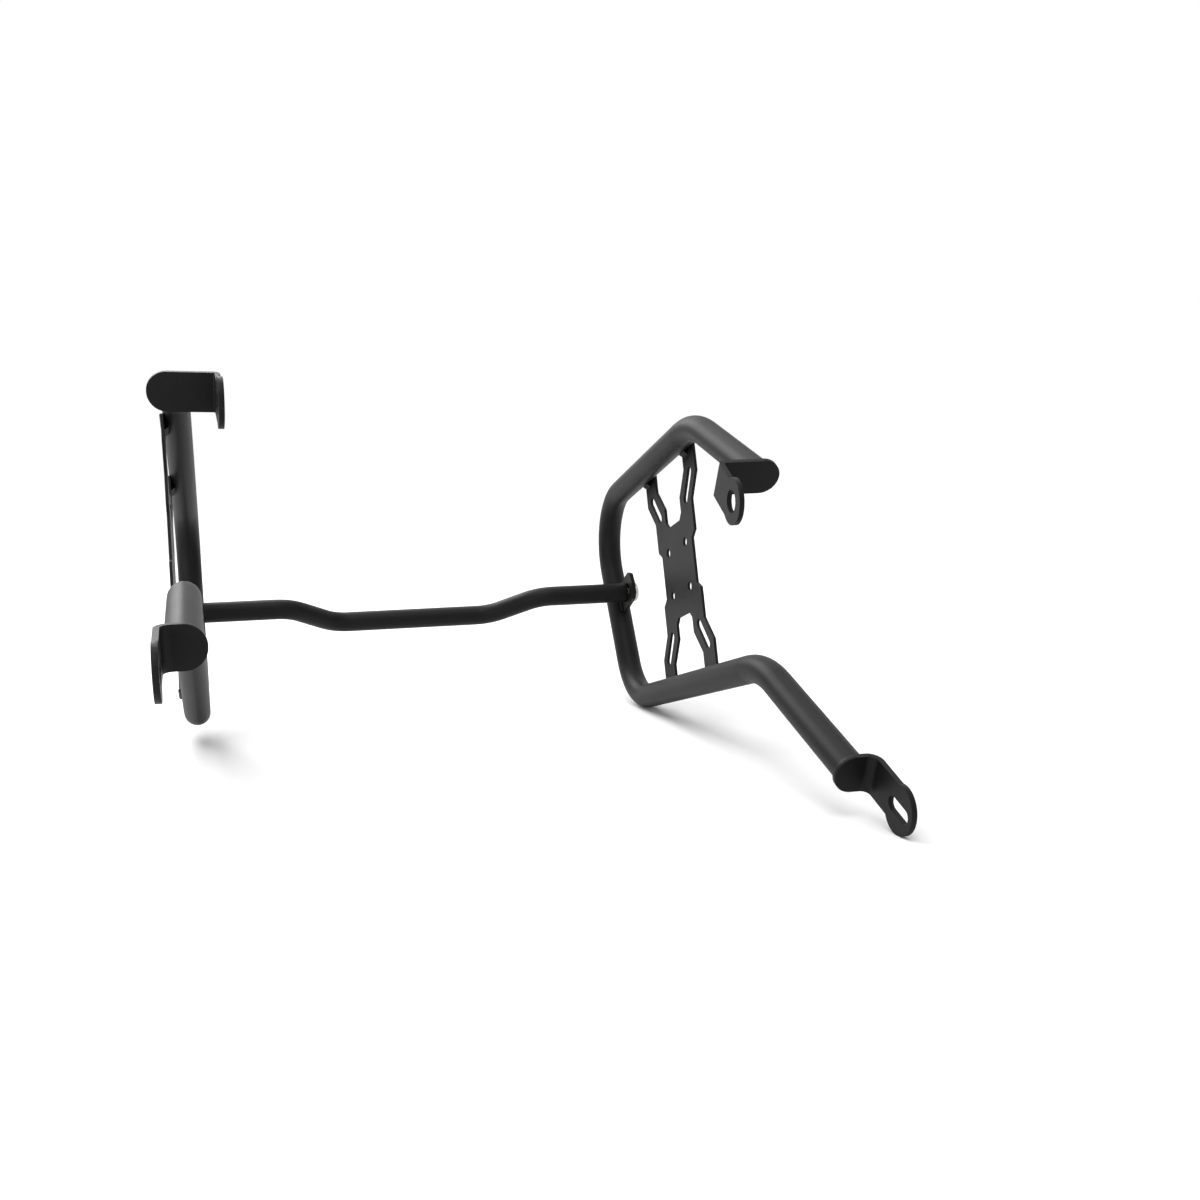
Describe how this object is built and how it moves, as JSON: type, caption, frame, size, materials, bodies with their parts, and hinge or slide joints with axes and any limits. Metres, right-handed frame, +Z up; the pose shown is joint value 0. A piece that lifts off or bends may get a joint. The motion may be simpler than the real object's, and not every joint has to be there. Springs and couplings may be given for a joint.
{
  "type": "motorbike pannier frame",
  "caption": "Black tube pannier frame for a motorbike: two side frames with bag plates and bolt-on brackets, joined by a joggled crossbar.",
  "frame": {"origin": "the middle of the crossbar's bolt axis, between the two side frames", "axes": "+X across the motorbike, towards the side frame on the right of the picture; -Y towards the motorbike's front; +Z up"},
  "size_m": [0.3612, 0.482, 0.2485],
  "materials": {
    "powder": "satin fine-texture powder coat",
    "zinc": "zinc-plated"
  },
  "bodies": {
    "root": {"left_side_tube": "powder", "right_side_tube": "powder", "left_upper_bracket": "powder", "right_upper_bracket": "powder", "left_lower_bracket": "powder", "right_lower_bracket": "powder", "left_bag_plate": "powder", "right_bag_plate": "powder", "left_upper_front_gusset": "powder", "left_upper_rear_gusset": "powder", "left_lower_front_gusset": "powder", "left_lower_rear_gusset": "powder", "right_upper_front_gusset": "powder", "right_upper_rear_gusset": "powder", "right_lower_front_gusset": "powder", "right_lower_rear_gusset": "powder", "left_crossbar_tab": "powder", "right_crossbar_tab": "powder", "crossbar": "powder", "left_plug": "zinc", "right_plug": "zinc", "left_bolt": "zinc", "right_bolt": "zinc", "left_washer": "zinc", "right_washer": "zinc"}
  },
  "joints": []
}
